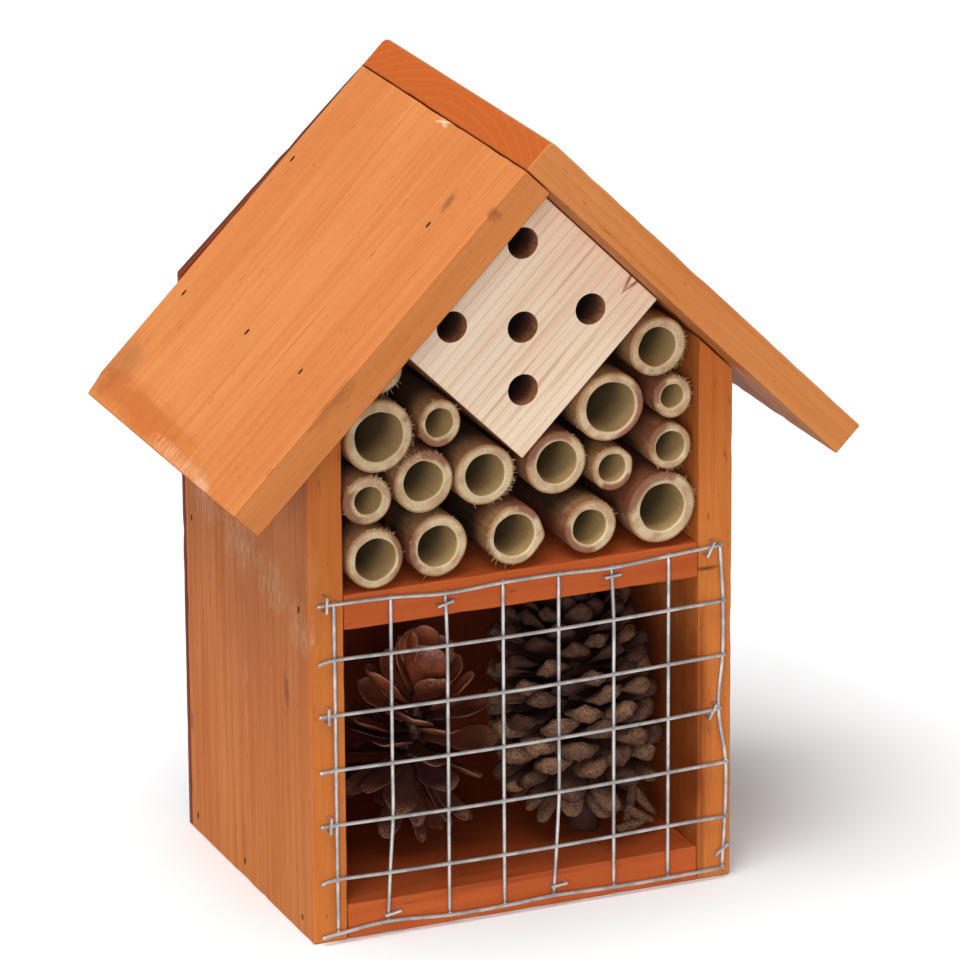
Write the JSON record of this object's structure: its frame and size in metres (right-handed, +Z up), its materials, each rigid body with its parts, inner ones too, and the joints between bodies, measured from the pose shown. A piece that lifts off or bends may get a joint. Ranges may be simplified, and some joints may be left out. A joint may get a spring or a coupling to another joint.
{
  "type": "insect hotel",
  "caption": "Gabled timber insect hotel: drilled pine block and packed bamboo canes above a shelf, pine cones below behind a stapled wire mesh.",
  "frame": {"origin": "bottom centre of the whole bounding box, on the plane of the bottom board's underside", "axes": "+X to the right seen from the open front, +Y from the open front to the back panel, +Z up"},
  "size_m": [0.2164, 0.14, 0.2675],
  "materials": {
    "stained_pine": "orange-brown wood stain, satin, on sawn softwood",
    "stained_ply": "orange-brown wood stain on thin plywood",
    "raw_pine": "bare planed pine",
    "bamboo": "dry cut bamboo cane",
    "chestnut_cone": "dry pine cone, glossy chestnut scales",
    "grey_cone": "dry pine cone, rough grey-brown scales with pale tips",
    "zinc_wire": "galvanised, dull",
    "nail_steel": "bare steel, darkened"
  },
  "bodies": {
    "root": {"side_panel_left": "stained_pine", "side_panel_right": "stained_pine", "bottom_board": "stained_pine", "shelf": "stained_pine", "roof_board_left": "stained_pine", "roof_board_right": "stained_pine", "back_panel": "stained_ply", "drilled_block": "raw_pine", "bamboo_cane_01": "bamboo", "bamboo_cane_02": "bamboo", "bamboo_cane_03": "bamboo", "bamboo_cane_04": "bamboo", "bamboo_cane_05": "bamboo", "bamboo_cane_06": "bamboo", "bamboo_cane_07": "bamboo", "bamboo_cane_08": "bamboo", "bamboo_cane_09": "bamboo", "bamboo_cane_10": "bamboo", "bamboo_cane_11": "bamboo", "bamboo_cane_12": "bamboo", "bamboo_cane_13": "bamboo", "bamboo_cane_14": "bamboo", "bamboo_cane_15": "bamboo", "bamboo_cane_16": "bamboo", "bamboo_cane_17": "bamboo", "pine_cone_left": "chestnut_cone", "pine_cone_right": "grey_cone", "wire_mesh": "zinc_wire", "staple_01": "zinc_wire", "staple_02": "zinc_wire", "staple_03": "zinc_wire", "staple_04": "zinc_wire", "staple_05": "zinc_wire", "staple_06": "zinc_wire", "staple_07": "zinc_wire", "staple_08": "zinc_wire", "staple_09": "zinc_wire", "staple_10": "zinc_wire", "brad_nail_01": "nail_steel", "brad_nail_02": "nail_steel", "brad_nail_03": "nail_steel", "brad_nail_04": "nail_steel", "brad_nail_05": "nail_steel", "brad_nail_06": "nail_steel", "brad_nail_07": "nail_steel", "brad_nail_08": "nail_steel", "brad_nail_09": "nail_steel", "brad_nail_10": "nail_steel", "brad_nail_11": "nail_steel", "brad_nail_12": "nail_steel", "brad_nail_13": "nail_steel", "brad_nail_14": "nail_steel", "brad_nail_15": "nail_steel", "brad_nail_16": "nail_steel", "brad_nail_17": "nail_steel", "brad_nail_18": "nail_steel", "brad_nail_19": "nail_steel", "brad_nail_20": "nail_steel", "sawtooth_hanger": "zinc_wire"}
  },
  "joints": []
}
